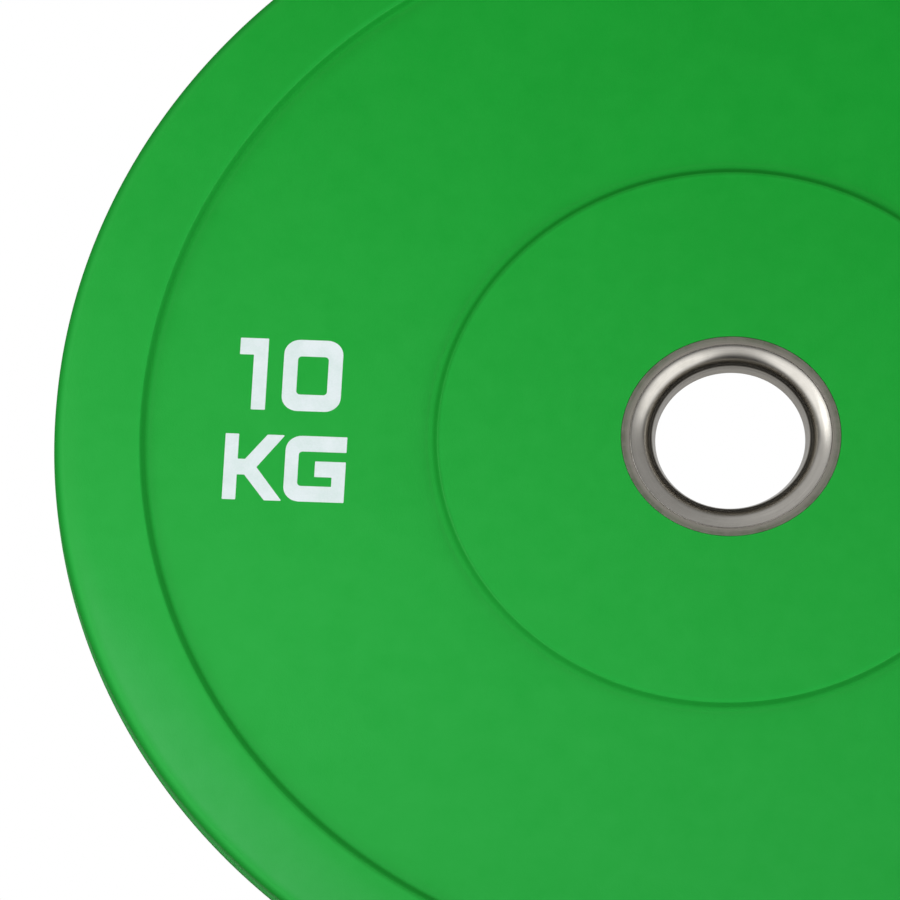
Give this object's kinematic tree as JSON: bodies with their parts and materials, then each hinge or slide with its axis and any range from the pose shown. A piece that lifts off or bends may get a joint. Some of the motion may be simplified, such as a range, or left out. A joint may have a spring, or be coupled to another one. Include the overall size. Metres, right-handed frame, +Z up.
{
  "type": "bumper plate",
  "caption": "Round rubber barbell plate with a raised rim and hub and a steel insert in its centre bore, standing on its tread.",
  "frame": {"origin": "middle of the bore: on its axis, halfway between the two faces", "axes": "bore along Y, with the front face, which carries the printed weight mark, towards -Y; +Z up as the mark is read and as the plate stands on its tread; the mark lies towards -X"},
  "size_m": [0.45, 0.053, 0.45],
  "materials": {
    "green_rubber": "matte",
    "polished_stainless": "polished",
    "turned_steel": "satin",
    "plain_steel": "matte",
    "white_print": "matte"
  },
  "bodies": {
    "root": {"rubber_plate": "green_rubber", "core_ring": "turned_steel", "anchor_flange": "plain_steel", "front_liner": "polished_stainless", "rear_liner": "polished_stainless"}
  },
  "joints": []
}
